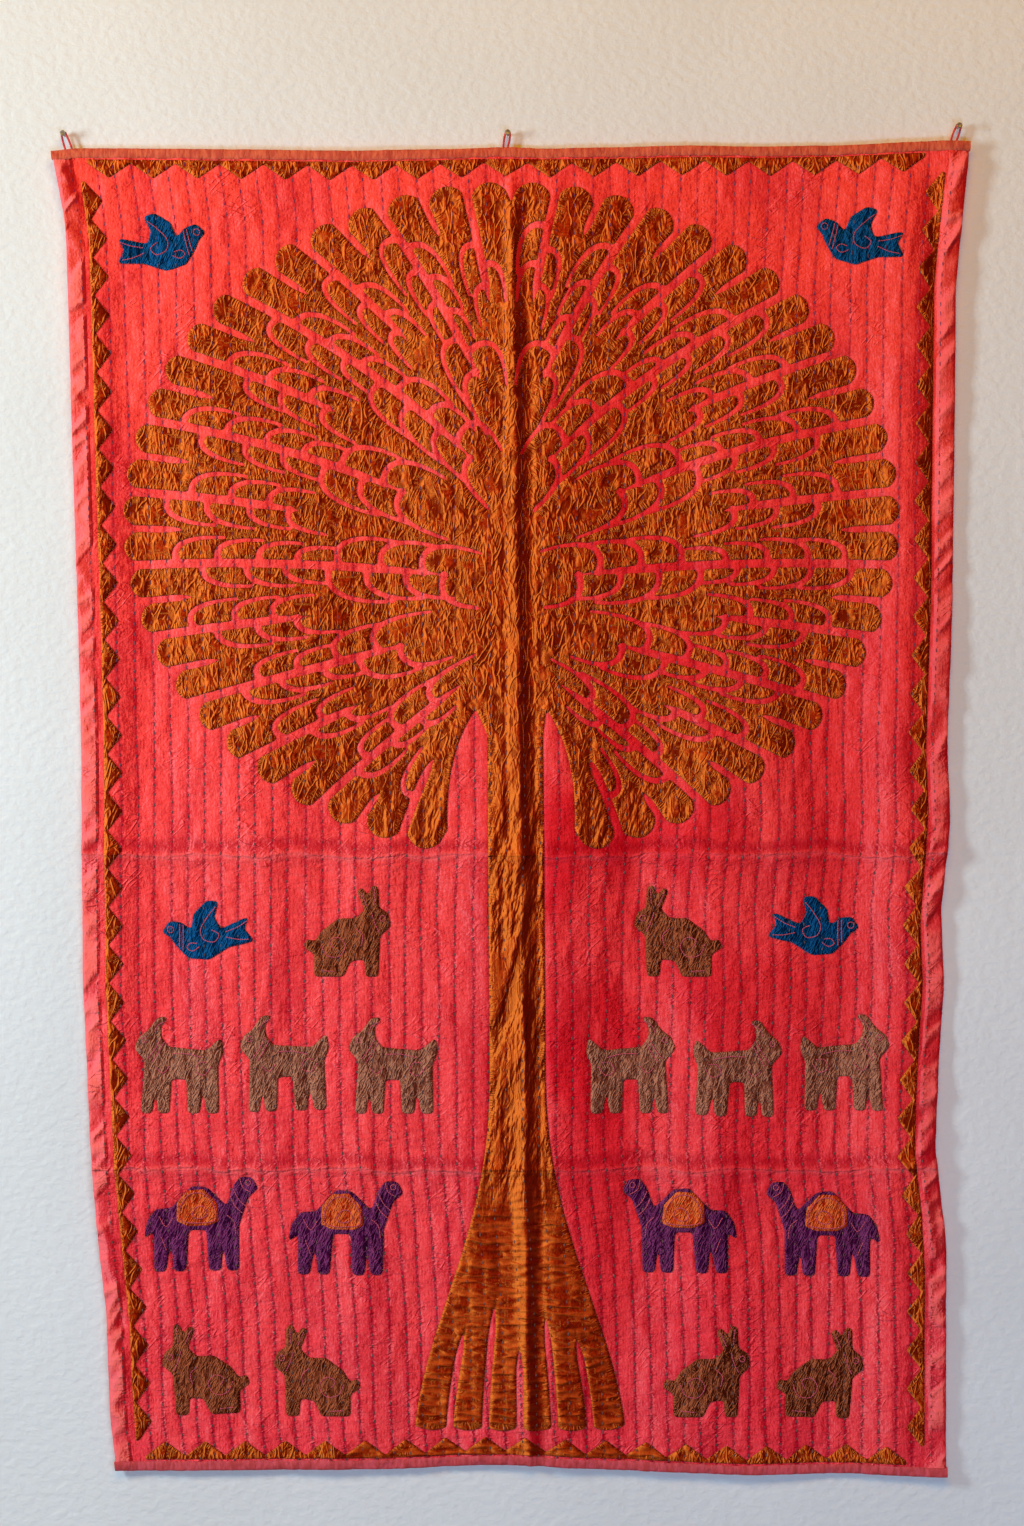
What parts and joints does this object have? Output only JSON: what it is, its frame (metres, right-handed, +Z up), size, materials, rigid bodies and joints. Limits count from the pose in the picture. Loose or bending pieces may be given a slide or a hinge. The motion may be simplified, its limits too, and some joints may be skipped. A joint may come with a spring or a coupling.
{
  "type": "applique wall hanging on nails",
  "caption": "Tall cotton wall hanging with an applique tree and animals on a running-stitched ground, pointed borders and cord loops, hung on wire nails.",
  "frame": {"origin": "where the middle nail enters the wall, on the wall's plane", "axes": "+Z up along the wall, +X to the right as seen from the room, +Y into the wall, so the cloth hangs at negative Y"},
  "size_m": [1.0511, 0.0442, 1.555],
  "materials": {
    "coral_cotton": "matte woven cotton, running-stitched",
    "salmon_cotton": "matte woven cotton, slip-stitched",
    "ochre_sateen": "crinkled cotton sateen with a low sheen",
    "blue_cotton": "crinkled woven cotton",
    "brown_cotton": "crinkled woven cotton",
    "taupe_cotton": "crinkled woven cotton",
    "purple_cotton": "crinkled woven cotton",
    "orange_cotton": "crinkled woven cotton",
    "coral_cord": "twisted cotton cord",
    "steel": "plain wire nail"
  },
  "bodies": {
    "root": {"binding_bottom": "salmon_cotton", "binding_top": "salmon_cotton", "border_bottom": "ochre_sateen", "border_left": "ochre_sateen", "border_right": "ochre_sateen", "border_top": "ochre_sateen", "camel_1": "purple_cotton", "camel_2": "purple_cotton", "camel_3": "purple_cotton", "camel_4": "purple_cotton", "dove_1": "blue_cotton", "dove_2": "blue_cotton", "dove_3": "blue_cotton", "dove_4": "blue_cotton", "goat_1": "taupe_cotton", "goat_2": "taupe_cotton", "goat_3": "taupe_cotton", "goat_4": "taupe_cotton", "goat_5": "taupe_cotton", "goat_6": "taupe_cotton", "ground_cloth": "coral_cotton", "hare_1": "brown_cotton", "hare_2": "brown_cotton", "hare_3": "brown_cotton", "hare_4": "brown_cotton", "hare_5": "brown_cotton", "hare_6": "brown_cotton", "loop_left": "coral_cord", "loop_middle": "coral_cord", "loop_right": "coral_cord", "nail_left": "steel", "nail_middle": "steel", "nail_right": "steel", "saddle_cloth_1": "orange_cotton", "saddle_cloth_2": "orange_cotton", "saddle_cloth_3": "orange_cotton", "saddle_cloth_4": "orange_cotton", "tree": "ochre_sateen"}
  },
  "joints": []
}
